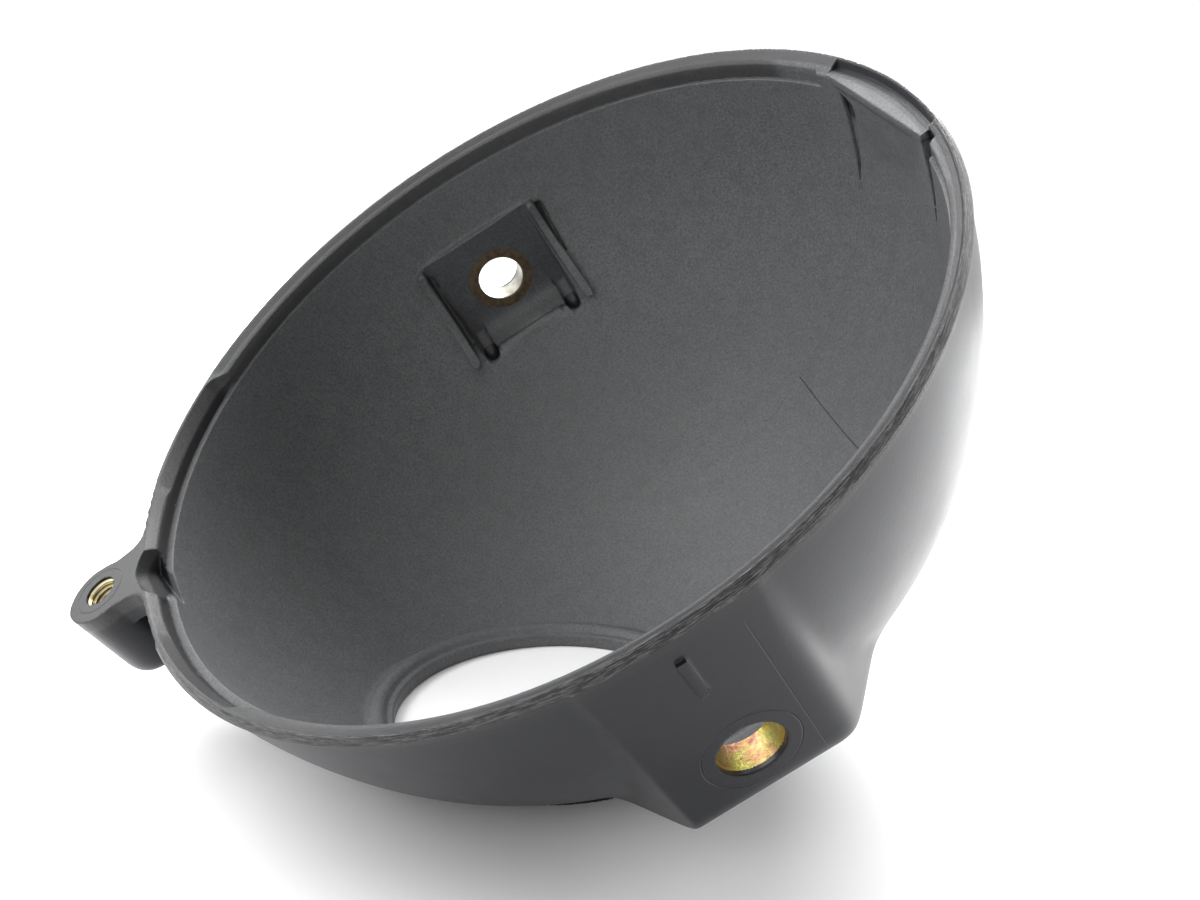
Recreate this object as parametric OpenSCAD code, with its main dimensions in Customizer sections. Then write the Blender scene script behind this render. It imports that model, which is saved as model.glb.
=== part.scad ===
/* [Mouth] */
// Outer radius of the mouth rim
mouth_r = 90; // [89.6:0.1:90.6]
// Height of the raised bead round the rim
bead_h = 2.0; // [1.4:0.1:2.6]
// Depth of the lamp rebate below the rim
rebate_d = 5.2; // [4.6:0.1:5.8]
// Radius of the rebate wall
rebate_r = 86.1; // [85.9:0.1:86.3]

/* [Bowl] */
// Outer radius of the bowl at the mouth
bowl_r = 89.3; // [89.0:0.1:89.5]
// Depth of the outer bowl surface if it were not cut
bowl_d = 98; // [97:0.5:99]
// Inner radius of the bowl at the mouth
inner_r = 85.4; // [85.2:0.1:85.6]
// Depth of the inner bowl surface if it were not cut
inner_d = 94.6; // [94:0.2:95]

/* [Wiring opening] */
// Radius of the wiring opening
open_r = 34.5; // [32:0.5:35]
// Outer radius of the raised lip round the opening
collar_r = 41; // [40.5:0.5:42]
// Outer radius of the thin ring that the part rests on
ring_r = 35.8; // [35.5:0.1:36.5]
// Height of the raised lip inside the opening
lip_h = 4.8; // [4.4:0.1:5.2]
// Lean of the mouth from the vertical
lean = 38.8; // [38.4:0.1:39.2]
// Direction of the lean round the mouth axis
lean_dir = 32.2; // [31.8:0.1:32.6]
// Distance from the mouth centre to the resting plane
rest_d = 85.5; // [85.3:0.1:85.7]

/* [Pivot bosses] */
// Depth of the pivot axis below the rim
pivot_z = 35.3; // [34.5:0.1:36]
// Bore radius of the pivot sleeves
pivot_bore_r = 6.1; // [5:0.1:6.4]
// Outer radius of the pivot sleeves
sleeve_r = 8.84; // [8.6:0.02:9]
// Distance from the centre plane to the outer boss face
boss_y = 88.6; // [88.4:0.1:88.8]
// Distance from the centre plane to the inner pad face
pad_y = 81.56; // [81.2:0.02:82]
// Half width of the outer boss face
boss_w = 15.3; // [14.5:0.1:16]
// Depth of the lower edge of the outer boss face
boss_low = 48.6; // [47.5:0.1:49.5]

/* [Adjuster lug] */
// Distance of the adjuster thread from the mouth axis
lug_x = 99.1; // [98.5:0.1:99.8]
// Radius of the lug barrel at the top
lug_r = 7.5; // [7:0.1:8]
// Length of the lug barrel
lug_h = 20.3; // [18:0.1:22]
// Minor radius of the thread in the adjuster insert
thread_r = 2.5; // [2.1:0.1:3.2]
// Outer radius of the adjuster insert
insert_r = 5.2; // [4.8:0.1:5.6]
// Length of the adjuster insert
insert_h = 14; // [10:0.5:15]

/* [Hidden] */
$fn = 96;
skin = 1.0;
neck_r = 4.0;
e = 0.01;

// Places lamp-frame geometry as the part lies: the collar on the floor
module lay() {
    translate([6.6, -5.1, rest_d]) rotate([0, lean, 0]) rotate([0, 0, 180 - lean_dir]) children();
}

// Extrudes a (y, z) profile along x, from -h to h
module along_x(h) {
    translate([-h, 0, 0]) rotate([90, 0, 90]) linear_extrude(2 * h) children();
}

// Extrudes an (x, z) profile along y, from y0 to y1
module along_y(y0, y1) {
    translate([0, y1, 0]) rotate([90, 0, 0]) linear_extrude(y1 - y0) children();
}

// Large radius of the two-arc bowl profile, from the mouth radius, depth and small radius
function big_r(a, d, q) = (a * a + (d - q) * (d - q) - q * q) / (2 * (a - q));

// Bowl profile of two tangent arcs, from height top down to depth d
module bowl_profile(a, d, q, top) {
    p = big_r(a, d, q);
    t = atan2(d - q, p - a);
    zj = -p * sin(t);
    intersection() {
        translate([a - p, 0]) circle(r = p, $fn = 240);
        translate([0, zj]) square([a + 5, top - zj]);
    }
    intersection() {
        translate([0, q - d]) circle(r = q, $fn = 240);
        translate([0, -d - 1]) square([a + 5, d + 1 + zj]);
    }
}

module outer_bowl() {
    rotate_extrude() bowl_profile(bowl_r, bowl_d, 84, -1);
}

module inner_bowl() {
    rotate_extrude() bowl_profile(inner_r, inner_d, 80.4, -rebate_d);
    translate([0, 0, -rebate_d - 0.5]) cylinder(r = inner_r - 0.17, h = rebate_d + 3);
}

// Cuts everything below the resting plane; room is what is cut away
module below_floor() {
    rotate([0, 0, lean_dir - 180]) rotate([0, -lean, 0]) translate([-200, -200, -rest_d - 100]) cube([400, 400, 100]);
}

// Things placed round the wiring opening, in the resting frame
module at_opening() {
    rotate([0, 0, lean_dir - 180]) rotate([0, -lean, 0]) translate([-6.6, 5.1, -rest_d]) children();
}

// Rim section: slopes inward from the outer edge to the rebate wall
module rim_main() {
    polygon([[bowl_r - 3, -8], [bowl_r - 0.1, -8], [bowl_r - 0.1, -bead_h], [mouth_r, -bead_h], [mouth_r, -0.9], [mouth_r - 0.9, 0],
        [rebate_r, -1.6], [rebate_r, -rebate_d], [inner_r - 0.17, -rebate_d], [inner_r - 0.17, -8]]);
}

// Rim section beside the lug: flat top, then a steep slope
module rim_lug() {
    polygon([[bowl_r - 3, -8], [bowl_r - 0.1, -8], [bowl_r - 0.1, -bead_h], [mouth_r, -bead_h], [mouth_r, -0.7], [mouth_r - 0.7, 0],
        [88.0, 0], [86.9, -3.7], [rebate_r + 0.4, -rebate_d], [inner_r - 0.17, -rebate_d], [inner_r - 0.17, -8]]);
}

// Rim section beside the tab: the rebate is filled
module rim_fill() {
    polygon([[bowl_r - 3, -8], [bowl_r - 0.5, -8], [bowl_r - 0.5, -0.4], [rebate_r, -1.6], [84.2, -2.3], [84.2, -8]]);
}

module rim() {
    difference() {
        union() {
            rotate_extrude(angle = 282, start = -141) rim_main();
            rotate_extrude(angle = 78, start = 141) rim_lug();
            rotate_extrude(angle = 4.2, start = 12.4) rim_fill();
            rotate_extrude(angle = 1.2, start = -16.6) rim_fill();
        }
        rotate_extrude(angle = 30, start = 165) translate([88.65, -12]) square([4, 14]);
    }
}

module boss_block() {
    flare = 0.62;
    back = boss_y - 58;
    intersection() {
        translate([0, 0, -72]) linear_extrude(70.8) union() {
            polygon([[-boss_w - flare * back, 58], [-boss_w - 0.3, boss_y - 0.5], [-boss_w + 0.5, boss_y], [boss_w - 1.9, boss_y],
                [boss_w + 0.15, boss_y - 1.4], [boss_w + flare * back, 58]]);
            intersection() {
                translate([boss_w - 2.0, boss_y - 2.1]) circle(r = 2.1);
                translate([boss_w - 2.2, boss_y - 2.2]) square([4, 2.2]);
            }
        }
        along_x(60) union() {
            polygon([[58, 0], [boss_y, 0], [boss_y, -boss_low + 3.4], [boss_y - 2.2, -boss_low + 0.1], [boss_y - 3.6, -boss_low - 0.4],
                [58, -boss_low - 0.39 * back]]);
            translate([boss_y - 3.5, -boss_low + 3.4]) circle(r = 3.5);
        }
    }
}

// Raised pad surround inside the bowl
module boss_inside() {
    difference() {
        union() {
            translate([-boss_w - 1, pad_y, -46]) cube([2 * boss_w + 2, 4, 26]);
            for (s = [[-boss_w - 4.6, 4.2], [boss_w + 0.6, 4.2]]) {
                translate([s[0], 78.9, -44]) cube([s[1], 2.6, 44 - 21.1]);
                translate([s[0] + s[1] / 2, 78.9, -21.1]) rotate([-90, 0, 0]) cylinder(r = s[1] / 2, h = 2.6);
            }
        }
        translate([-40, 60, -60]) cube([80, 18.9 - e, 60]);
    }
}

// Pocket in front of the pad, with a curved ramp at its lower end
module pad_pocket() {
    along_x(boss_w + 0.3) polygon([[58, -12], [pad_y, -12], [pad_y, -44], [pad_y - 0.5, -46], [pad_y - 2, -48], [pad_y - 4.6, -49.3],
        [72.6, -50], [58, -50]]);
    for (x = [-12.9, 12.9]) intersection() {
        along_x(20) polygon([[58, -40], [pad_y, -40], [pad_y, -45], [79, -49], [74.5, -52.4], [58, -52.4]]);
        union() {
            translate([x - 2.05, 58, -49.6]) cube([4.1, 30, 10]);
            translate([x, 58, -49.6]) rotate([-90, 0, 0]) cylinder(r = 2.05, h = 30);
        }
    }
}

module lug_body() {
    translate([-lug_x, -0.4, 0]) rotate_extrude() polygon([[0, 0], [lug_r + 0.1, 0], [lug_r + 0.1, -lug_h + 1.3], [lug_r - 1.6, -lug_h], [0, -lug_h]]);
    // upper web, flush with the rim
    translate([0, 0, -6.4]) linear_extrude(6.4) difference() {
        polygon([[-lug_x, 7.0], [-95.8, 6.3], [-92, 6.9], [-90, 8.6], [-88.2, 12.6], [-84, 22], [-80, 20], [-80, -22], [-84, -24],
            [-87.4, -16], [-88.8, -12.2], [-89.8, -9.8], [-91.6, -8.1], [-94, -7.4], [-lug_x, -7.9]]);
        circle(r = 88.1);
    }
    // lower web, behind the pocket
    translate([0, 0, -lug_h + 1.5]) linear_extrude(lug_h - 10.3) difference() {
        polygon([[-lug_x, 6.8], [-92, 6.4], [-84, 8.5], [-76, 8.5], [-76, -7.4], [-84, -7.4], [-92, -6.6], [-lug_x, -7.2]]);
        circle(r = 76);
    }
    // inner web, which closes the pocket
    translate([-lug_x, -2.8, -12]) cube([22, 8.8, 10]);
}

// Screw clearance at the lug, open to the mouth and to the bowl
module scoop() {
    difference() {
        translate([-79.6, -2.4, -13]) cylinder(r = 10.7, h = 15);
        // sloping floor
        translate([-90.1, 0.1, -8]) multmatrix([[1, 0, 0, 0], [0, 1, 0, 0], [0.73, 0.405, 1, 0]]) translate([-20, -40, -30]) cube([60, 80, 30]);
        // steep wall on the near side
        translate([-85, -5.8, -6.2]) multmatrix([[1, -0.292, -0.467, 0], [0, 1, 0, 0], [0, 0, 1, 0]]) translate([0.7, -40, -30]) cube([40, 80, 60]);
    }
}

module tab_panel() {
    translate([0, 0, -19]) linear_extrude(16.6) intersection() {
        circle(r = 87);
        translate([83.9, -18.8]) square([6, 37.6]);
    }
}

module tab_cuts() {
    // room above the shelf
    translate([0, 0, -2.4]) rotate_extrude(angle = 25, start = -12.5) translate([80, 0]) square([8.4, 4]);
    // notch at the end of the shelf
    translate([0, 0, -4.6]) rotate_extrude(angle = 2.5, start = -15) translate([80, 0]) square([7.4, 6]);
    // wedge-shaped slots beside the panel
    intersection() {
        translate([76, 0, 0]) rotate([90, 0, 90]) linear_extrude(14) {
            polygon([[15.8, -5.4], [12.2, -6.8], [12.9, -14.6], [14.4, -30]]);
            polygon([[-18.2, -3.2], [-22.0, -3.6], [-20.4, -8.5], [-19.2, -22], [-18.9, -9]]);
        }
        rotate_extrude() bowl_profile(inner_r + 1.5, inner_d + 1.5, 82, -3);
    }
}

module collar() {
    at_opening() rotate_extrude() polygon([[open_r, 0], [ring_r, 0], [ring_r, 3.2], [open_r + 0.6, 3.2], [open_r, 2.4]]);
    intersection() {
        outer_bowl();
        at_opening() rotate_extrude() polygon([[open_r, 0], [collar_r + 0.3, 0], [collar_r + 0.3, 4.4], [collar_r - 0.9, 4.4],
            [collar_r - 1.8, lip_h - 0.1], [collar_r - 2.6, lip_h], [collar_r - 3.6, lip_h - 0.2], [open_r + 0.9, 3.6], [open_r, 2.4]]);
    }
}

module shell_body() {
    difference() {
        union() {
            outer_bowl();
            for (m = [0, 1]) mirror([0, m, 0]) boss_block();
            lug_body();
        }
        inner_bowl();
        // flat outer boss faces below the bead
        for (s = [-1, 1]) translate([-boss_w, s > 0 ? boss_y : -boss_y - 4, -30]) cube([2 * boss_w, 4, 28]);
        // room above the rim
        translate([0, 0, -1.2]) cylinder(r = 85, h = 4);
    }
}

module shell_solid() {
    difference() {
        union() {
            difference() {
                union() {
                    difference() {
                        shell_body();
                        // the rim section replaces this part of the bowl
                        translate([0, 0, -6.5]) difference() {
                            cylinder(r = 88, h = 8);
                            translate([0, 0, -1]) cylinder(r = 80, h = 10);
                        }
                    }
                    rim();
                    tab_panel();
                    for (m = [0, 1]) mirror([0, m, 0]) boss_inside();
                }
                tab_cuts();
                scoop();
                for (m = [0, 1]) mirror([0, m, 0]) pad_pocket();
                below_floor();
                at_opening() translate([0, 0, -10]) cylinder(r = open_r + 3, h = 30);
            }
            collar();
        }
        // pockets of the sleeves, open to the pad, and the screw holes through the skin
        for (s = [0, 1]) mirror([0, s, 0]) translate([0, 0, -pivot_z]) rotate([-90, 0, 0]) {
            translate([0, 0, pad_y - 1]) cylinder(r = sleeve_r, h = boss_y - pad_y - skin + 1);
            translate([0, 0, pad_y - 1]) cylinder(r = pivot_bore_r, h = 12);
        }
        // seat of the threaded insert and the run-out below it
        translate([-lug_x, 0, -insert_h - 0.6]) {
            cylinder(r = insert_r, h = insert_h - 1.1);
            cylinder(r = neck_r, h = insert_h + 3);
        }
        translate([-lug_x, 0, -lug_h - 1]) cylinder(r = thread_r, h = lug_h);
    }
}

module bucket_shell() {
    color([0.16, 0.17, 0.18]) lay() shell_solid();
}

module sleeve(side) {
    color([0.78, 0.68, 0.38]) lay() mirror([0, side, 0]) translate([0, pad_y, -pivot_z]) rotate([-90, 0, 0]) rotate_extrude()
        polygon([[pivot_bore_r, 0.35], [pivot_bore_r + 0.35, 0], [sleeve_r, 0], [sleeve_r, boss_y - pad_y - skin], [pivot_bore_r, boss_y - pad_y - skin]]);
}

module pivot_sleeve_left() { sleeve(1); }

module pivot_sleeve_right() { sleeve(0); }

module adjuster_insert() {
    color([0.80, 0.62, 0.30]) lay() translate([-lug_x, 0, -insert_h - 0.6]) rotate_extrude() polygon(
        [[insert_r, 0], [insert_r, insert_h - 1.1], [neck_r, insert_h - 1.1], [neck_r, insert_h], [thread_r + 1.16, insert_h],
        [thread_r, insert_h - 1.16], [thread_r, 0]]);
}

bucket_shell();
pivot_sleeve_left();
pivot_sleeve_right();
adjuster_insert();
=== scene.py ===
import math

import bpy
import numpy as np
from mathutils import Matrix, Vector


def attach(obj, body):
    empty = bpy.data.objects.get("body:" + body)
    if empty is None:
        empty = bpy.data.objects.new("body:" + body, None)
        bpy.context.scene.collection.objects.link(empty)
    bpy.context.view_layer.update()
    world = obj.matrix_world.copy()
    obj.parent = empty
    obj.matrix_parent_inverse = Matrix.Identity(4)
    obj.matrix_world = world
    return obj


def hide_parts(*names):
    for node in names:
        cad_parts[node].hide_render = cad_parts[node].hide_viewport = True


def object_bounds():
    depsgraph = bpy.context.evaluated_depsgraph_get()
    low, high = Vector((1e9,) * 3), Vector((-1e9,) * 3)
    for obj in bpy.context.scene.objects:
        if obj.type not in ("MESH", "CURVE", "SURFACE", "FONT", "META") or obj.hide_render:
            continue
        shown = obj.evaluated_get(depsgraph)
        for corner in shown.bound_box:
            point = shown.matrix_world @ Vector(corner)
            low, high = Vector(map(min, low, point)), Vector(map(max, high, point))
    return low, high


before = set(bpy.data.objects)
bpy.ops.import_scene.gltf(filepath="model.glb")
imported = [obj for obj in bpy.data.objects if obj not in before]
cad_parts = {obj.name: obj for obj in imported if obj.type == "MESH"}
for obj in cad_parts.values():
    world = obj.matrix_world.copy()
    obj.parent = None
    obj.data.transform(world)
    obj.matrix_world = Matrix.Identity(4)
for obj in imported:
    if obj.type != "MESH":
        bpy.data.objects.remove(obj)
CAD_LO, CAD_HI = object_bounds()

# ---------------------------------------------------------------- frames
# The lamp frame (mm) has its origin in the middle of the mouth, +Z out of the mouth, the lug at -X and the tab at +X.
LEAN, LEAN_DIR, REST_D = math.radians(38.8), math.radians(32.2), 85.5
cl, sl = math.cos(LEAN), math.sin(LEAN)
ca, sa = math.cos(math.pi - LEAN_DIR), math.sin(math.pi - LEAN_DIR)
ROT = np.array([[cl, 0, sl], [0, 1, 0], [-sl, 0, cl]]) @ np.array([[ca, -sa, 0], [sa, ca, 0], [0, 0, 1]])
SHIFT = np.array([6.6, -5.1, REST_D])


def to_rest(p):
    return (p @ ROT.T + SHIFT) / 1000.0


# ---------------------------------------------------------------- the moulding as a distance field (lamp frame, mm)
BOWL_R, BOWL_D, INNER_R, INNER_D = 89.3, 98.0, 85.4, 94.6
PIVOT_Z, BOSS_Y, PAD_Y, BOSS_W, BOSS_LOW = 35.3, 88.6, 81.56, 15.3, 48.6
LUG_X, LUG_R, LUG_H = 99.1, 7.5, 20.3


def smin(a, b, k):
    h = np.maximum(k - np.abs(a - b), 0) / k
    return np.minimum(a, b) - h * h * h * (k / 6)


def smax(a, b, k):
    return -smin(-a, -b, k)


def mx(*v):
    out = v[0]
    for w in v[1:]:
        out = np.maximum(out, w)
    return out


def arcs(r, z, a, d, q):
    """Distance to the two-arc bowl profile."""
    p = (a * a + (d - q) ** 2 - q * q) / (2 * (a - q))
    t = math.atan2(d - q, p - a)
    d1 = np.hypot(r - (a - p), z) - p
    d2 = np.hypot(r, z - (q - d)) - q
    lower = (r - (a - p)) * -math.sin(t) - z * math.cos(t)
    return np.where(lower < 0, d1, d2)


def line(u, v, p, n):
    """Distance to the line through p with normal n."""
    m = math.hypot(n[0], n[1])
    return ((u - p[0]) * n[0] + (v - p[1]) * n[1]) / m


def capsule(u, v, a, b, ra, rb):
    """Distance to a tapered bar from a to b."""
    dx, dy = b[0] - a[0], b[1] - a[1]
    t = np.clip(((u - a[0]) * dx + (v - a[1]) * dy) / (dx * dx + dy * dy), 0, 1)
    return np.hypot(u - a[0] - dx * t, v - a[1] - dy * t) - (ra + (rb - ra) * t)


def step(x, a, b):
    t = np.clip((x - a) / (b - a), 0, 1)
    return t * t * (3 - 2 * t)


def shell_sdf(P):
    x, y, z = P[:, 0], P[:, 1], P[:, 2]
    r = np.hypot(x, y)
    ay = np.abs(y)
    aa = np.abs(np.degrees(np.arctan2(y, -x)))      # degrees from the lug
    ta = 180 - aa                                   # degrees from the tab
    R = P @ ROT.T.astype(P.dtype) + SHIFT.astype(P.dtype)
    zr, rho = R[:, 2], np.hypot(R[:, 0], R[:, 1])

    bowl = arcs(r, z, BOWL_R, BOWL_D, 84.0)
    bowl = bowl + 0.6 * (1 - step(aa, 12.0, 19.0)) * step(z, -14.0, -9.0)
    outer = np.maximum(bowl, z)
    inner = arcs(r, z, INNER_R, INNER_D, 80.4)

    # raised bead round the rim, gone beside the lug
    bead = mx(r - 90.0, -2.0 - z, z, 86.0 - r)
    bead = smax(bead, line(r, z, (90.0, -0.9), (1, 1)), 1.0)
    bead = smax(bead, line(r, z, (90.0, -1.7), (1, -1)), 0.5)
    bead = bead + 1.5 * (1 - step(aa, 14.5, 17.5))
    body = smin(outer, bead, 0.6)

    # boss blocks with flared sides
    s_r = line(x, ay, (BOSS_W, BOSS_Y), (1, 0.62))
    s_l = line(-x, ay, (BOSS_W, BOSS_Y), (1, 0.62))
    low = line(ay, z, (BOSS_Y, -BOSS_LOW), (0.39, -1))
    face = ay - BOSS_Y
    b = smax(smax(face, low, 6.5), s_l, 1.4)
    b = smax(b, s_r, 4.0)
    b = mx(b, 58.0 - ay, z + 1.7)
    body = smin(body, b, 2.6)
    flat = mx(np.abs(x) - 27.0, BOSS_Y - ay, z + 2.1, -47.0 - z)
    body = smax(body, -flat, 0.25)
    bar = smax(mx(np.abs(x + 0.6) - 0.85, z + 8.0, -17.2 - z, 86.0 - ay), ay - 89.3, 0.2)
    body = smin(body, bar, 0.15)

    # adjuster lug: barrel, upper web flush with the rim, lower web behind a pocket
    ly = y + 0.4
    barrel = np.hypot(x + LUG_X, ly) - (LUG_R - 0.02 * z)
    barrel = np.maximum(smax(barrel, -LUG_H - z, 6.0), z)
    barrel = smax(barrel, z, 0.5)
    web = np.maximum(np.abs(ly) - 6.9, x + 80.0)
    web = smin(web, r - 88.7, 9.0)
    web = mx(smax(web, z, 0.5), -6.3 - z, 84.0 - r, -LUG_X - x, np.abs(ly) - 30.0)
    lug = smin(barrel, web, 0.4)
    low_web = mx(np.abs(ly) - 6.7, -LUG_X - x, x + 70.0)
    low_web = smax(low_web, -LUG_H + 0.9 - z, 2.5)
    low_web = smax(low_web, line(x, z, (-99.2, -6.6), (1.0, 1.0)), 1.6)
    mid_web = mx(-2.6 - y, y - 6.2, -LUG_X - x, x + 80.0, -13.0 - z, z + 3.0)
    lug2 = smin(low_web, mid_web, 1.4)
    near_lug = x < -60
    body = np.where(near_lug, smin(smin(body, lug2, 3.0), lug, 0.6), body)

    # wall
    s = smax(body, -inner, 0.4)
    w = 1 - step(aa, 36.0, 40.5)
    tw = 1 - step(ta, 14.8, 15.4)
    wall_main = r - (86.1 - 1.0 * tw)
    deep = 2.7 + 1.0 * step(aa, 14.5, 16.5)
    wall_lug = smax((r - 88.35) * 0.93 - z * 0.36 * 3.7 / deep, -deep - z, 0.3)
    wall_lug = smin(wall_lug, mx(r - 87.1, -5.2 - z, z + deep - 0.6), 0.3)
    ledge = smin(-5.2 - z, np.maximum(-4.65 - z, r - 85.8), 0.2)
    rebate = np.maximum(wall_main * (1 - w) + wall_lug * w, ledge)
    s = smax(s, -rebate, 0.35)
    top_cut = line(r, z, (89.1, 0.0), (-1.6, 2.7)) * (1 - w) + np.maximum(z, line(r - 20.0 * (1 - step(aa, 13.0, 18.0)), z, (89.2, 0.0), (1, 1.2))) * w
    s = smax(s, top_cut, 0.5)

    # tab: shelf, band, flat panel, notch and wedge slots
    panel = mx(83.9 - x, np.abs(y + 0.1) - 18.8, -19.5 - z, z + 1.8, r - 87.4)
    band = mx(83.5 - x, np.abs(y + 0.1) - 18.9, -4.1 - z, z + 1.8, r - 88.2)
    s = np.where(x > 60, smin(smin(s, panel, 0.5), band, 0.2), s)
    room = mx(np.abs(y) - 18.9, -1.8 - z, (r - 88.35 - 0.3 * (z + 1.8)) * 0.95, 80.0 - x)
    notch = mx(-22.6 - y, y + 18.7, -4.8 - z, r - 87.4, 80.0 - x)
    cone = r - (87.1 + (z + 3) * 0.168)
    sl1 = mx(line(y, z, (15.9, -5.4), (24.6, -1.5)), line(y, z, (11.6, -7.1), (-21.0, -3.0)), line(y, z, (14.0, -6.1), (-0.39, 1)), cone)
    sl2 = mx(line(y, z, (-18.3, -3.2), (18.8, -0.9)), line(y, z, (-22.0, -3.6), (-18.4, -2.8)), z + 3.3, cone)
    cuts = np.minimum(np.minimum(room, notch), np.minimum(sl1, sl2))
    s = np.where(x > 60, smax(s, -cuts, 0.4), s)

    # screw clearance beside the lug
    plan = np.hypot(x + 79.6, y + 2.4) - 10.7
    floor = (-8.0 + 0.73 * (x + 90.1) + 0.405 * (y - 0.1) - z) / 1.303
    end = (-21.66 * (x + 85) - 6.32 * (y + 5.8) - 10.12 * (z + 6.2)) / 24.7 - 1.6
    scoop = smax(smax(plan, floor, 1.0), end, 1.0)
    scoop = smax(scoop, -9.5 - y, 1.8)
    s = np.where(near_lug, smax(s, -scoop, 0.3), s)

    # pad, side ribs and pocket inside each boss
    pad = mx(np.abs(x) - 16.0, PAD_Y - ay, inner - 2.5, -46.0 - z, z + 20.0)
    crest = smin(78.3 - ay, -(inner + 1.6), 1.2)
    rib_l = smax(capsule(x, z, (-17.3, -21.4), (-18.2, -47.0), 1.15, 1.3), crest, 0.9)
    rib_r = smax(capsule(x, z, (17.3, -21.0), (18.1, -47.2), 1.15, 1.3), crest, 0.9)
    ribs = mx(np.minimum(rib_l, rib_r), inner - 2.5)
    is_boss = (np.abs(x) < 30) & (ay > 60) & (z < -8)
    s = np.where(is_boss, smin(smin(s, pad, 1.5), ribs, 0.7), s)
    relief = np.minimum(capsule(x, z, (19.5, -22.5), (19.2, -36.0), 0.95, 0.2), capsule(x, z, (-15.6, -24.0), (-16.2, -44.0), 0.5, 0.3))
    s = np.where(is_boss, smax(s, -mx(relief, -(inner + 2.5), inner - 1.3, 60.0 - ay), 0.4), s)
    slope = line(ay, z, (PAD_Y, -46.6), (3.0, -8.96))
    pocket = smax(smax(np.abs(x) - 15.6, ay - PAD_Y, 2.2), slope, 6.0)
    notch1 = capsule(np.abs(x), z, (13.2, -38.0), (13.2, -49.0), 1.9, 1.9)
    notch1 = smax(smax(notch1, line(ay, z, (PAD_Y, -46.0), (0.62, -0.785)), 2.4), ay - PAD_Y, 1.0)
    lipbar = smax(np.hypot(ay - 73.9, z + 49.6) - 1.2, np.abs(x + 0.5) - 10.0, 1.0)
    s = np.where(is_boss, smax(s, -np.maximum(pocket, 60.0 - ay), 0.7), s)
    s = np.where(is_boss, smin(s, lipbar, 1.2), s)
    s = np.where(is_boss, smax(s, -np.maximum(notch1, 60.0 - ay), 0.5), s)

    # flat collar and raised lip round the wiring opening
    lip = np.hypot(rho - 38.3, zr - 2.5) - 2.3
    ring = smin(mx(rho - 41.2, 30.0 - rho, zr - 3.3), lip, 1.0)
    ring = np.maximum(ring, bowl + 0.9)
    s = smin(s, ring, 1.2)
    s = smin(s, mx(rho - 35.7, 30.0 - rho, zr - 3.0), 0.5)
    s = smax(s, -zr, 0.5)
    s = smax(s, 34.5 - rho, 1.2)

    # bores: sleeve pockets, screw holes, insert seat
    rb = np.hypot(x, z + PIVOT_Z)
    seat = np.minimum(np.maximum(rb - 8.84, ay - 82.6), np.maximum(rb - 7.4, ay - 87.0))
    hole = rb - 6.1
    s = np.where(is_boss, mx(s, -np.maximum(seat, 60.0 - ay)), s)
    s = np.where(is_boss, smax(s, -np.maximum(hole, 60.0 - ay), 0.35), s)
    ri = np.hypot(x + LUG_X, y)
    seat2 = np.minimum(mx(ri - 4.6, -14.6 - z, z + 1.7), mx(ri - 4.05, -14.6 - z, z + 0.7))
    seat2 = np.minimum(seat2, np.minimum(np.maximum(ri - 3.45, -2.0 - z), ri - 3.1))
    s = np.where(near_lug, np.maximum(s, -seat2), s)
    return s


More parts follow.
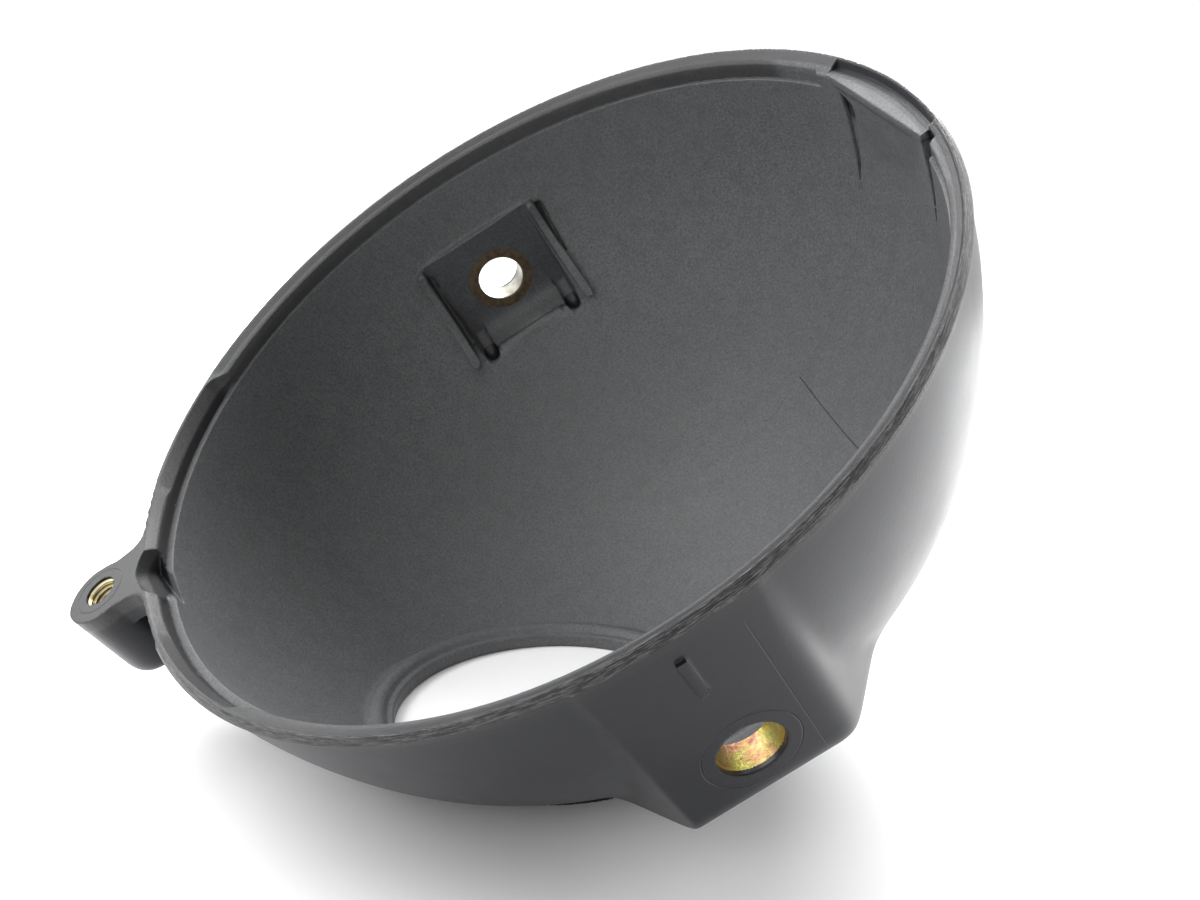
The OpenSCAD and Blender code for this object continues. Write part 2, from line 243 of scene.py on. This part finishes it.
def surface_mesh(h):
    """Dual contouring on a grid of pitch h, so that edges stay crisp."""
    lo = np.array([-109.0, -92.0, -99.5])
    n = np.ceil((np.array([92.0, 92.0, 2.0]) - lo) / h).astype(int) + 1
    ax = [(lo[i] + h * np.arange(n[i])).astype(np.float32) for i in range(3)]
    D = np.empty(n, np.float32)
    for i0 in range(0, n[0], 16):
        X, Y, Z = np.meshgrid(ax[0][i0:i0 + 16], ax[1], ax[2], indexing="ij")
        r = np.hypot(X, Y)
        o = arcs(r, Z, BOWL_R, BOWL_D, 84.0)
        rough = np.maximum(np.maximum(o, -(o + 3.8)), Z)
        need = (rough < 5.0) & (o > -9.5)
        need |= (np.abs(X) < 32) & (np.abs(Y) > 60) & (o < 16) & (o > -9.5)
        need |= (X < -84) & (np.abs(Y) < 16) & (Z > -24)
        P = np.stack([X[need], Y[need], Z[need]], 1)
        blk = np.full(X.shape, 5.0, np.float32)
        if len(P):
            blk[need] = shell_sdf(P)
        D[i0:i0 + 16] = blk
    S = D < 0
    c = np.zeros(n - 1, np.uint8)
    for dx in (0, 1):
        for dy in (0, 1):
            for dz in (0, 1):
                c += S[dx:n[0] - 1 + dx, dy:n[1] - 1 + dy, dz:n[2] - 1 + dz]
    act = np.argwhere((c > 0) & (c < 8))
    idx = np.full(n - 1, -1, np.int32)
    idx[act[:, 0], act[:, 1], act[:, 2]] = np.arange(len(act))
    na = len(act)
    AtA = np.zeros((na, 3, 3))
    Atb = np.zeros((na, 3))
    mid = np.zeros((na, 3))
    cnt = np.zeros(na)
    quads = []
    for k in range(3):
        i, j = [(1, 2), (2, 0), (0, 1)][k]
        a = [slice(None)] * 3; b = [slice(None)] * 3
        a[k] = slice(0, n[k] - 1); b[k] = slice(1, n[k])
        A, B = S[tuple(a)], S[tuple(b)]
        e = np.argwhere(A != B)
        e = e[(e[:, i] > 0) & (e[:, j] > 0) & (e[:, i] < n[i] - 1) & (e[:, j] < n[j] - 1)]
        e2 = e.copy(); e2[:, k] += 1
        va = D[e[:, 0], e[:, 1], e[:, 2]].astype(float)
        vb = D[e2[:, 0], e2[:, 1], e2[:, 2]].astype(float)
        p0 = lo + h * e
        t = va / (va - vb)
        # two secant steps for the crossing
        for _ in range(2):
            q = p0.copy(); q[:, k] += h * t
            v = shell_sdf(q)
            up = (v < 0) == (va < 0)
            t_lo = np.where(up, t, 0.0); v_lo = np.where(up, v, va)
            t_hi = np.where(up, 1.0, t); v_hi = np.where(up, vb, v)
            t = np.clip(t_lo + (t_hi - t_lo) * v_lo / np.where(np.abs(v_lo - v_hi) < 1e-9, 1e-9, v_lo - v_hi), 0, 1)
        p = p0.copy(); p[:, k] += h * t
        N = gradient(p, 0.03)
        N /= np.maximum(np.linalg.norm(N, axis=1), 1e-9)[:, None]
        q = []
        for di, dj in ((1, 1), (0, 1), (0, 0), (1, 0)):
            g = e.copy(); g[:, i] -= di; g[:, j] -= dj
            cell = idx[g[:, 0], g[:, 1], g[:, 2]]
            q.append(cell)
            ok = cell >= 0
            cc = cell[ok]
            pl = p[ok] - (lo + h * (act[cc] + 0.5))
            nn = N[ok]
            for u in range(3):
                for w in range(3):
                    AtA[:, u, w] += np.bincount(cc, nn[:, u] * nn[:, w], na)
                d = (nn * pl).sum(1)
                Atb[:, u] += np.bincount(cc, nn[:, u] * d, na)
                mid[:, u] += np.bincount(cc, pl[:, u], na)
            cnt += np.bincount(cc, minlength=na)
        q = np.stack(q, 1)
        flip = ~A[e[:, 0], e[:, 1], e[:, 2]]
        q[flip] = q[flip][:, ::-1]
        quads.append(q)
    mid /= np.maximum(cnt, 1)[:, None]
    lam = 0.03 * np.maximum(cnt, 1)
    M = AtA + lam[:, None, None] * np.eye(3)
    x = np.linalg.solve(M, (Atb + lam[:, None] * mid)[:, :, None])[:, :, 0]
    x = np.clip(x, -0.62 * h, 0.62 * h)
    V = lo + h * (act + 0.5) + x
    Q = np.concatenate(quads)
    Q = Q[(Q >= 0).all(1)]
    return V, Q


def gradient(V, e):
    g = np.empty_like(V)
    for i in range(3):
        d = np.zeros(3); d[i] = e
        g[:, i] = (shell_sdf(V + d) - shell_sdf(V - d)) / (2 * e)
    return g


def pull(V, rounds, e=0.12, most=0.35):
    for _ in range(rounds):
        d = shell_sdf(V)
        g = gradient(V, e)
        m = np.maximum((g * g).sum(1), 0.2)
        stp = g * (d / m)[:, None]
        l = np.linalg.norm(stp, axis=1)
        stp *= np.minimum(1, most / np.maximum(l, 1e-9))[:, None]
        V = V - stp
    return V


def raw_mesh(name, V, F):
    me = bpy.data.meshes.new(name)
    me.vertices.add(len(V))
    me.vertices.foreach_set("co", V.astype(np.float32).ravel())
    F = np.asarray(F)
    me.loops.add(F.size)
    me.loops.foreach_set("vertex_index", F.astype(np.int32).ravel())
    me.polygons.add(len(F))
    me.polygons.foreach_set("loop_start", np.arange(0, F.size, F.shape[1], dtype=np.int32))
    me.polygons.foreach_set("loop_total", np.full(len(F), F.shape[1], np.int32))
    me.update(calc_edges=True)
    me.validate()
    ob = bpy.data.objects.new(name, me)
    bpy.context.scene.collection.objects.link(ob)
    return ob


def build_shell():
    h = 0.6
    V, Q = surface_mesh(h)
    ob = raw_mesh("shell_moulding", V, Q)
    tris = 2 * len(Q)
    most = 192000
    if tris > most:
        m = ob.modifiers.new("thin", "DECIMATE")
        m.decimate_type = "COLLAPSE"
        m.ratio = most / tris
        dg = bpy.context.evaluated_depsgraph_get()
        me = bpy.data.meshes.new_from_object(ob.evaluated_get(dg), depsgraph=dg)
        ob.modifiers.clear()
        old = ob.data
        ob.data = me
        bpy.data.meshes.remove(old)
    me = ob.data
    V = np.empty(len(me.vertices) * 3, np.float32)
    me.vertices.foreach_get("co", V)
    V = V.reshape(-1, 3).astype(float)
    # corner normals from the field, read a little inside each face so that edges stay sharp
    nl = len(me.loops)
    lv = np.empty(nl, np.int32); me.loops.foreach_get("vertex_index", lv)
    npoly = len(me.polygons)
    lt = np.empty(npoly, np.int32); me.polygons.foreach_get("loop_total", lt)
    fid = np.repeat(np.arange(npoly), lt)
    cen = np.stack([np.bincount(fid, V[lv][:, i], npoly) for i in range(3)], 1) / lt[:, None]
    to = cen[fid] - V[lv]
    ln = np.linalg.norm(to, axis=1)
    q = V[lv] + to * (np.minimum(0.16, 0.4 * ln) / np.maximum(ln, 1e-9))[:, None]
    N = gradient(q, 0.05)
    N /= np.maximum(np.linalg.norm(N, axis=1), 1e-9)[:, None]
    W = to_rest(V)
    W = np.clip(W, np.array(CAD_LO) + 1e-6, np.array(CAD_HI) - 1e-6)
    me.vertices.foreach_set("co", W.astype(np.float32).ravel())
    me.polygons.foreach_set("use_smooth", np.ones(npoly, bool))
    me.update()
    N = N @ ROT.T
    # a field normal that disagrees with its face is replaced by the face's own
    fn = np.empty(npoly * 3, np.float32); me.polygons.foreach_get("normal", fn)
    fn = fn.reshape(-1, 3)[fid]
    bad = (N * fn).sum(1) < 0.35
    N[bad] = fn[bad]
    me.normals_split_custom_set(N.tolist())
    at = me.attributes.new("lamp", "FLOAT_VECTOR", "POINT")
    at.data.foreach_set("vector", V.astype(np.float32).ravel())
    print("shell", len(me.vertices), "vertices", npoly, "faces", int(bad.sum()), "plain corners")
    return ob


# ---------------------------------------------------------------- node helpers
class Net:
    def __init__(self, name):
        self.m = bpy.data.materials.new(name)
        self.m.use_nodes = True
        self.t = self.m.node_tree
        self.t.nodes.clear()
        self.out = self.t.nodes.new("ShaderNodeOutputMaterial")
        self.b = self.t.nodes.new("ShaderNodeBsdfPrincipled")
        self.t.links.new(self.b.outputs[0], self.out.inputs[0])

    def n(self, kind, **kw):
        nd = self.t.nodes.new(kind)
        for k, v in kw.items():
            setattr(nd, k, v)
        return nd

    def link(self, a, b):
        self.t.links.new(a, b)

    def put(self, sock, v):
        if hasattr(v, "is_linked") or isinstance(v, bpy.types.NodeSocket):
            self.link(v, sock)
        else:
            sock.default_value = v

    def math(self, op, a, b=None, c=None, clamp=False):
        nd = self.n("ShaderNodeMath", operation=op, use_clamp=clamp)
        self.put(nd.inputs[0], a)
        if b is not None:
            self.put(nd.inputs[1], b)
        if c is not None:
            self.put(nd.inputs[2], c)
        return nd.outputs[0]

    def noise(self, vec, scale, detail=2.0, rough=0.5, dims="3D"):
        nd = self.n("ShaderNodeTexNoise", noise_dimensions=dims)
        self.link(vec, nd.inputs["Vector"])
        nd.inputs["Scale"].default_value = scale
        nd.inputs["Detail"].default_value = detail
        nd.inputs["Roughness"].default_value = rough
        return nd.outputs["Fac"]

    def maprange(self, v, a, b, c, d, smooth=True):
        nd = self.n("ShaderNodeMapRange", interpolation_type="SMOOTHSTEP" if smooth else "LINEAR")
        self.put(nd.inputs["Value"], v)
        for k, q in zip(("From Min", "From Max", "To Min", "To Max"), (a, b, c, d)):
            nd.inputs[k].default_value = q
        return nd.outputs["Result"]

    def mix(self, f, a, b):
        nd = self.n("ShaderNodeMix", data_type="RGBA")
        self.put(nd.inputs[0], f)
        for s, v in ((nd.inputs[6], a), (nd.inputs[7], b)):
            if isinstance(v, tuple):
                s.default_value = (*v, 1)
            else:
                self.link(v, s)
        return nd.outputs[2]

    def bump(self, height, strength, dist, normal=None):
        nd = self.n("ShaderNodeBump")
        self.link(height, nd.inputs["Height"])
        nd.inputs["Strength"].default_value = strength
        nd.inputs["Distance"].default_value = dist
        if normal is not None:
            self.link(normal, nd.inputs["Normal"])
        return nd.outputs["Normal"]


def plastic():
    k = Net("shell_plastic_look")
    at = k.n("ShaderNodeAttribute", attribute_name="lamp")
    vec = at.outputs["Vector"]
    sep = k.n("ShaderNodeSeparateXYZ")
    k.link(vec, sep.inputs[0])
    X, Y, Z = sep.outputs
    M = k.math
    ay = M("ABSOLUTE", Y)
    r = M("SQRT", M("ADD", M("MULTIPLY", X, X), M("MULTIPLY", Y, Y)))
    q = M("SQRT", M("ADD", M("POWER", M("DIVIDE", r, 87.4), 2.0), M("POWER", M("DIVIDE", Z, 96.3), 2.0)))
    inside = k.maprange(q, 0.992, 1.0, 1.0, 0.0)
    ax = M("ABSOLUTE", X)
    padm = M("MULTIPLY", M("MULTIPLY", k.maprange(ax, 16.3, 16.6, 1.0, 0.0), k.maprange(ay, 82.8, 83.1, 1.0, 0.0)), M("MULTIPLY", k.maprange(Z, -20.5, -20.1, 1.0, 0.0), k.maprange(Z, -49.0, -48.6, 0.0, 1.0)))
    padm = M("MULTIPLY", padm, k.maprange(ay, 60.0, 61.0, 0.0, 1.0))
    inside = M("ADD", M("MULTIPLY", inside, M("SUBTRACT", 1.0, padm)), M("MULTIPLY", padm, 0.6))
    grain = k.noise(vec, 1.7, 3.0, 0.7)
    fine = k.noise(vec, 4.5, 2.0, 0.6)
    cloud = k.noise(vec, 0.045, 4.0, 0.55)
    blotch = k.noise(vec, 0.22, 3.0, 0.6)
    scuff = k.noise(vec, 0.7, 4.0, 0.7)
    # the outside gets a near-black tone and the inside a much lighter grained tone: the grain is the inner wall's own
    # finish, and part of the difference is painted light, with the inside painted lighter and the outside darker for
    # how light falls on each
    base = k.mix(k.maprange(cloud, 0.35, 0.7, 0.0, 1.0), (0.0060, 0.0065, 0.0095), (0.0090, 0.0095, 0.0125))
    inn = k.mix(k.maprange(grain, 0.32, 0.68, 0.0, 1.0, False), (0.050, 0.0515, 0.0535), (0.122, 0.1245, 0.127))
    inn = k.mix(k.maprange(blotch, 0.42, 0.72, 0.0, 0.3), inn, (0.046, 0.0475, 0.050))
    # painted shade: the upper inner wall, more on the far side, is darkened as if shaded by the rim
    high = M("MULTIPLY", k.maprange(Z, -48.0, -6.0, 0.0, 1.0), k.maprange(Y, -25.0, 45.0, 0.0, 0.36))
    inn = k.mix(high, inn, (0.026, 0.027, 0.0285))
    # painted light: the deep interior of the bowl is painted lighter
    inn = k.mix(k.maprange(Z, -24.0, -78.0, 0.0, 0.2), inn, (0.150, 0.152, 0.156))
    base = k.mix(inside, base, inn)
    # painted shade on one flank of each of the two ribs and on the rebate wall above the ledge
    fl = M("SUBTRACT", X, M("ADD", 23.5, M("MULTIPLY", Z, 0.14)))
    fl = M("MULTIPLY", M("MULTIPLY", k.maprange(fl, -0.5, 0.0, 1.0, 0.0), k.maprange(X, 18.2, 18.5, 0.0, 1.0)), k.maprange(Z, -21.4, -20.8, 1.0, 0.0))
    fr = M("MULTIPLY", M("MULTIPLY", k.maprange(X, -17.1, -16.8, 0.0, 1.0), k.maprange(X, -16.2, -15.2, 1.0, 0.0)), M("MULTIPLY", k.maprange(Z, -22.6, -21.8, 1.0, 0.0), k.maprange(Z, -47.0, -45.0, 0.0, 1.0)))
    rib_flank_shade = M("MULTIPLY", M("MAXIMUM", fl, M("MULTIPLY", fr, 0.8)), M("MULTIPLY", k.maprange(ay, 60.0, 61.0, 0.0, 1.0), k.maprange(ay, 84.4, 84.8, 1.0, 0.0)))
    base = k.mix(M("MULTIPLY", rib_flank_shade, 0.85), base, (0.004, 0.004, 0.0045))
    # painted shade on the rebate wall above the ledge
    rebate_shade = M("MULTIPLY", M("MULTIPLY", k.maprange(r, 85.75, 85.95, 0.0, 1.0), k.maprange(Z, -5.1, -4.95, 0.0, 1.0)), M("MULTIPLY", k.maprange(Z, -1.2, -0.5, 1.0, 0.0), k.maprange(X, 78.0, 80.0, 1.0, 0.0)))
    base = k.mix(M("MULTIPLY", rebate_shade, 0.8), base, (0.012, 0.012, 0.013))
    # light scuffs outside
    base = k.mix(M("MULTIPLY", k.maprange(scuff, 0.66, 0.78, 0.0, 0.25), M("SUBTRACT", 1.0, inside)), base, (0.075, 0.076, 0.080))
    # rough trimmed edge on the near half of the rim
    ang = M("ARCTAN2", Y, X)
    cv = k.n("ShaderNodeCombineXYZ")
    k.link(M("MULTIPLY", ang, 30.0), cv.inputs[0]); k.link(M("MULTIPLY", r, 4.4), cv.inputs[1]); k.link(M("MULTIPLY", Z, 5.0), cv.inputs[2])
    streak = k.noise(cv.outputs[0], 1.0, 5.0, 0.72)
    near = k.maprange(Y, -30.0, -5.0, 1.0, 0.0)
    edge = M("MULTIPLY", k.maprange(r, 88.3, 88.9, 0.0, 1.0), k.maprange(Z, -2.4, -2.0, 0.0, 1.0))
    trim = M("MULTIPLY", edge, near)
    rimtop = M("MULTIPLY", k.maprange(r, 85.9, 86.2, 0.0, 1.0), k.maprange(Z, -3.9, -2.6, 0.0, 1.0))
    # painted light: the rim top gets a lighter tone on the lug side, fading out towards the tab, for the light that
    # falls there
    base = k.mix(M("MULTIPLY", rimtop, k.maprange(X, -62.0, 10.0, 0.42, 0.0)), base, k.mix(k.maprange(grain, 0.3, 0.7, 0.0, 1.0, False), (0.045, 0.046, 0.047), (0.085, 0.086, 0.087)))
    base = k.mix(M("MULTIPLY", trim, k.maprange(streak, 0.47, 0.6, 0.0, 0.9)), base, (0.115, 0.116, 0.112))
    base = k.mix(M("MULTIPLY", trim, k.maprange(streak, 0.47, 0.38, 0.0, 0.95)), base, (0.007, 0.007, 0.007))
    # mould lines on the inner wall and thin circles where the metal pieces sit
    on_in = M("MULTIPLY", inside, k.maprange(Z, -10.0, -14.0, 0.0, 1.0))
    l1 = M("MULTIPLY", k.maprange(M("ABSOLUTE", M("SUBTRACT", X, 51.3)), 0.05, 0.22, 1.0, 0.0), M("MULTIPLY", k.maprange(Y, 22.2, 22.4, 1.0, 0.0), k.maprange(Y, -40.0, -8.0, 0.0, 1.0)))
    d2 = M("ABSOLUTE", M("SUBTRACT", Y, M("SUBTRACT", 37.4, M("MULTIPLY", X, 0.29))))
    l2 = M("MULTIPLY", k.maprange(d2, 0.1, 0.4, 0.1, 0.0), k.maprange(X, 51.3, 51.5, 0.0, 1.0))
    lines = M("MULTIPLY", M("MAXIMUM", l1, l2), on_in)
    zb = M("ADD", Z, 35.3)
    rb = M("SQRT", M("ADD", M("MULTIPLY", X, X), M("MULTIPLY", zb, zb)))
    onface = k.maprange(ay, 88.2, 88.4, 0.0, 1.0)
    ring = M("MULTIPLY", k.maprange(M("ABSOLUTE", M("SUBTRACT", rb, 8.72)), 0.04, 0.2, 1.0, 0.0), onface)
    vl = M("MULTIPLY", M("MULTIPLY", k.maprange(M("ABSOLUTE", M("SUBTRACT", X, 10.3)), 0.03, 0.16, 0.3, 0.0), onface), k.maprange(Z, -8.0, -9.0, 0.0, 1.0))
    xl = M("ADD", X, 99.1)
    rl = M("SQRT", M("ADD", M("MULTIPLY", xl, xl), M("MULTIPLY", Y, Y)))
    lring = M("MULTIPLY", k.maprange(M("ABSOLUTE", M("SUBTRACT", rl, 5.4)), 0.03, 0.16, 1.0, 0.0), k.maprange(Z, -0.6, -0.3, 0.0, 1.0))
    # painted shade: the slot beside the tab is painted near black
    slot = M("MULTIPLY", M("MULTIPLY", k.maprange(r, 85.45, 85.8, 0.0, 1.0), k.maprange(r, 88.0, 88.4, 1.0, 0.0)), M("MULTIPLY", k.maprange(Y, 10.5, 11.0, 0.0, 1.0), k.maprange(Y, 17.4, 17.9, 1.0, 0.0)))
    slot = M("MULTIPLY", M("MULTIPLY", slot, k.maprange(Z, -4.3, -4.8, 0.0, 1.0)), k.maprange(X, 60.0, 61.0, 0.0, 1.0))
    base = k.mix(M("MULTIPLY", slot, 0.9), base, (0.004, 0.004, 0.004))
    marks = M("MAXIMUM", M("MAXIMUM", ring, vl), M("MAXIMUM", lines, lring))
    base = k.mix(M("MULTIPLY", marks, 0.55), base, (0.008, 0.008, 0.009))
    k.link(base, k.b.inputs["Base Color"])
    rough = M("ADD", M("MULTIPLY", inside, 0.20), k.maprange(cloud, 0.3, 0.7, 0.30, 0.36))
    rough = M("ADD", rough, M("MULTIPLY", rimtop, 0.08))
    k.link(rough, k.b.inputs["Roughness"])
    k.link(M("ADD", 0.36, M("MULTIPLY", inside, 0.16)), k.b.inputs["Specular IOR Level"])
    hgt = M("MULTIPLY", M("ADD", M("MULTIPLY", grain, 0.7), M("MULTIPLY", fine, 0.3)), M("ADD", M("MULTIPLY", inside, 0.85), M("ADD", 0.13, M("MULTIPLY", rimtop, 0.5))))
    nrm = k.bump(hgt, 1.0, 0.00022)
    nrm = k.bump(M("MULTIPLY", streak, trim), 1.0, 0.0004, nrm)
    nrm = k.bump(M("MULTIPLY", marks, -1.0), 0.8, 0.00025, nrm)
    k.link(nrm, k.b.inputs["Normal"])
    return k.m


def along_pivot(k):
    """Distance of a point from the middle of the mouth along the pivot axis, mm (object space is the rest frame)."""
    tc = k.n("ShaderNodeTexCoord")
    v = tc.outputs["Object"]
    d = k.n("ShaderNodeVectorMath", operation="DOT_PRODUCT")
    k.link(v, d.inputs[0])
    d.inputs[1].default_value = tuple(float(t) for t in ROT[:, 1])
    off = float(SHIFT @ ROT[:, 1])
    return v, k.math("SUBTRACT", k.math("MULTIPLY", d.outputs["Value"], 1000.0), off)


def zinc(name, tones, dull):
    k = Net(name)
    v, ly = along_pivot(k)
    c1 = k.noise(v, 150.0, 4.0, 0.62)
    c2 = k.noise(v, 700.0, 4.0, 0.7)
    ramp = k.n("ShaderNodeValToRGB")
    k.link(k.math("ADD", k.math("MULTIPLY", c1, 0.72), k.math("MULTIPLY", c2, 0.28)), ramp.inputs[0])
    e = ramp.color_ramp.elements
    e[0].position, e[0].color = 0.36, (*tones[0], 1)
    e[1].position, e[1].color = 0.64, (*tones[4], 1)
    for p, c in ((0.45, tones[1]), (0.51, tones[2]), (0.57, tones[3])):
        q = ramp.color_ramp.elements.new(p)
        q.color = (*c, 1)
    speck = k.maprange(c2, 0.56, 0.68, 0.0, 0.55)
    col = k.mix(speck, ramp.outputs[0], (0.16, 0.10, 0.03))
    # the end that lies flush with the pad is rougher, and painted a darker brown as painted shade
    face = k.maprange(k.math("ABSOLUTE", ly), 81.75, 81.95, 1.0, 0.0)
    col = k.mix(face, col, k.mix(k.maprange(c2, 0.35, 0.65, 0.0, 1.0), (0.10, 0.075, 0.05), (0.19, 0.14, 0.09)))
    k.link(col, k.b.inputs["Base Color"])
    k.b.inputs["Metallic"].default_value = dull
    k.link(k.math("ADD", k.maprange(c2, 0.3, 0.7, 0.38, 0.6), k.math("MULTIPLY", face, 0.15)), k.b.inputs["Roughness"])
    k.link(k.bump(c2, 0.5, 0.0003), k.b.inputs["Normal"])
    return k.m


def brass():
    k = Net("insert_brass_look")
    tc = k.n("ShaderNodeTexCoord")
    v = tc.outputs["Object"]
    c = k.noise(v, 500.0, 2.0, 0.5)
    g = k.n("ShaderNodeAttribute", attribute_name="groove_shade").outputs["Fac"]
    col = k.mix(k.maprange(c, 0.35, 0.65, 0.0, 1.0), (0.58, 0.47, 0.24), (0.76, 0.68, 0.44))
    # painted shade: the thread's grooves are darkened
    k.link(k.mix(k.math("MULTIPLY", g, 0.9), col, (0.09, 0.065, 0.025)), k.b.inputs["Base Color"])
    k.b.inputs["Metallic"].default_value = 1.0
    k.link(k.maprange(c, 0.3, 0.7, 0.2, 0.36), k.b.inputs["Roughness"])
    k.link(k.bump(c, 0.15, 0.0002), k.b.inputs["Normal"])
    return k.m


# ---------------------------------------------------------------- pieces
def threaded_insert():
    """Closed turned insert whose bore carries a real one-start thread, pitch 1 mm (lamp frame)."""
    seg = 96
    th = 2 * np.pi * np.arange(seg) / seg
    zs = np.arange(-14.55, -0.75 + 1e-6, 0.1)
    R, H = [], []
    for zz in zs:
        u = (zz - th / (2 * np.pi)) % 1.0
        rr = 2.53 + 0.5 * np.clip(np.abs(u - 0.5) * 2.3 - 0.08, 0, 1)
        rr = np.maximum(rr, 3.4 + (zz + 0.75))
        rr = np.maximum(rr, 3.0 - (zz + 14.55))
        R.append(rr); H.append(np.full(seg, zz))
    for rr, zz in ((4.02, -0.75), (4.02, -1.74), (4.58, -1.74), (4.58, -14.55)):
        R.append(np.full(seg, rr)); H.append(np.full(seg, zz))
    R, H = np.array(R), np.array(H)
    n = len(R)
    V = np.stack([-LUG_X + R * np.cos(th), R * np.sin(th), H], -1).reshape(-1, 3)
    F = []
    for j in range(n):
        j2 = (j + 1) % n
        for i in range(seg):
            i2 = (i + 1) % seg
            F.append((j * seg + i, j2 * seg + i, j2 * seg + i2, j * seg + i2))
    ob = raw_mesh("insert_turned", to_rest(V), np.array(F))
    ob.data.polygons.foreach_set("use_smooth", np.array([j < len(zs) - 1 for j in range(n) for _ in range(seg)]))
    # painted shade in the thread's grooves, passed to the material as an attribute
    gv = np.clip((R - 2.6) / 0.4, 0, 1) * (H < -1.1) * (R < 3.1)
    ga = ob.data.attributes.new("groove_shade", "FLOAT", "POINT")
    ga.data.foreach_set("value", gv.reshape(-1).astype(np.float32))
    ob.data.update()
    return ob


shell = build_shell()
shell.data.materials.append(plastic())
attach(shell, "root")
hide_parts("bucket_shell")

YELLOW = ((0.26, 0.17, 0.04), (0.40, 0.32, 0.08), (0.34, 0.34, 0.10), (0.42, 0.25, 0.12), (0.38, 0.19, 0.14))
PALE = ((0.25, 0.24, 0.20), (0.30, 0.29, 0.25), (0.28, 0.28, 0.26), (0.30, 0.28, 0.24), (0.25, 0.24, 0.21))
for nm, tones in (("pivot_sleeve_right", PALE), ("pivot_sleeve_left", YELLOW)):
    look = zinc(nm + "_look", tones, 1.0)
    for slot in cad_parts[nm].material_slots:
        slot.material = look

insert = threaded_insert()
insert.data.materials.append(brass())
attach(insert, "root")
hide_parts("adjuster_insert")

# ---------------------------------------------------------------- floor, light, camera
floor_me = bpy.data.meshes.new("floor")
S = 4.0
floor_me.from_pydata([(-S, -S, 0), (S, -S, 0), (S, S, 0), (-S, S, 0)], [], [(0, 1, 2, 3)])
floor = bpy.data.objects.new("studio_floor", floor_me)
bpy.context.scene.collection.objects.link(floor)
fm = Net("studio_floor_look")
fm.b.inputs["Base Color"].default_value = (0.95, 0.95, 0.955, 1)
fm.b.inputs["Roughness"].default_value = 0.9
fm.b.inputs["Specular IOR Level"].default_value = 0.1
floor_me.materials.append(fm.m)

C = np.array([0.1651, -2.147, 1.3036]) * 90.0
right, down, fwd = np.array([0.8431, -0.3007, -0.4457]), np.array([-0.5348, -0.5545, -0.6376]), np.array([-0.0554, 0.7760, -0.6283])
loc = to_rest(C[None])[0]


def turn(v):
    return ROT @ v


cam_data = bpy.data.cameras.new("camera")
cam_data.lens = 33.88
cam_data.sensor_width = 36.0
cam_data.clip_start, cam_data.clip_end = 0.005, 50.0
cam = bpy.data.objects.new("camera", cam_data)
bpy.context.scene.collection.objects.link(cam)
R3 = np.stack([turn(right), -turn(down), -turn(fwd)], 1)
u_, _, v_ = np.linalg.svd(R3)
R3 = u_ @ v_
cam.matrix_world = Matrix([[*R3[0], loc[0]], [*R3[1], loc[1]], [*R3[2], loc[2]], [0, 0, 0, 1]])
bpy.context.scene.camera = cam

# horizontal directions to the picture's right and away from the camera
hr = Vector((R3[0, 0], R3[1, 0], 0)).normalized()
hb = Vector((-R3[0, 2], -R3[1, 2], 0)).normalized()
up = Vector((0, 0, 1))

world = bpy.data.worlds.new("studio")
bpy.context.scene.world = world
world.use_nodes = True
wt = world.node_tree
bg = wt.nodes["Background"]
bg.inputs[0].default_value = (1.0, 1.0, 1.0, 1)
# a bright room, lighter high up on the left and dimmer high up on the right and in front
tc = wt.nodes.new("ShaderNodeTexCoord")
dot = wt.nodes.new("ShaderNodeVectorMath"); dot.operation = "DOT_PRODUCT"
wt.links.new(tc.outputs["Generated"], dot.inputs[0])
dot.inputs[1].default_value = tuple(-1.15 * hr + 0.35 * hb)
sp = wt.nodes.new("ShaderNodeSeparateXYZ")
wt.links.new(tc.outputs["Generated"], sp.inputs[0])
mr = wt.nodes.new("ShaderNodeMapRange"); mr.interpolation_type = "SMOOTHSTEP"
for nm, v in zip(("From Min", "From Max", "To Min", "To Max"), (0.12, 0.55, 0.0, 1.0)):
    mr.inputs[nm].default_value = v
wt.links.new(sp.outputs[2], mr.inputs["Value"])
ma = wt.nodes.new("ShaderNodeMath"); ma.operation = "MULTIPLY_ADD"
wt.links.new(dot.outputs["Value"], ma.inputs[0])
wt.links.new(mr.outputs["Result"], ma.inputs[1])
ma.inputs[2].default_value = 1.12
mm = wt.nodes.new("ShaderNodeMath"); mm.operation = "MAXIMUM"
wt.links.new(ma.outputs[0], mm.inputs[0])
mm.inputs[1].default_value = 0.2
wt.links.new(mm.outputs[0], bg.inputs[1])
bpy.context.scene.view_settings.view_transform = "Standard"


def area(name, pos, aim, size, power, shape="DISK"):
    d = bpy.data.lights.new(name, "AREA")
    d.shape = shape
    d.size = size
    d.energy = power
    o = bpy.data.objects.new(name, d)
    bpy.context.scene.collection.objects.link(o)
    o.location = pos
    o.rotation_mode = "QUATERNION"
    o.rotation_quaternion = (Vector(aim) - Vector(pos)).to_track_quat("-Z", "Y")
    return o


area("left_soft", -0.62 * hr + 0.1 * hb + 0.62 * up, (0.0, 0, 0.05), 0.7, 5.0)
area("right_low", 0.8 * hr + 0.3 * hb + 0.34 * up, (0.0, 0, 0.06), 0.62, 4.0)
area("back_soft", 0.6 * hb + 0.12 * hr + 0.5 * up, 0.12 * hb, 0.7, 16.0)
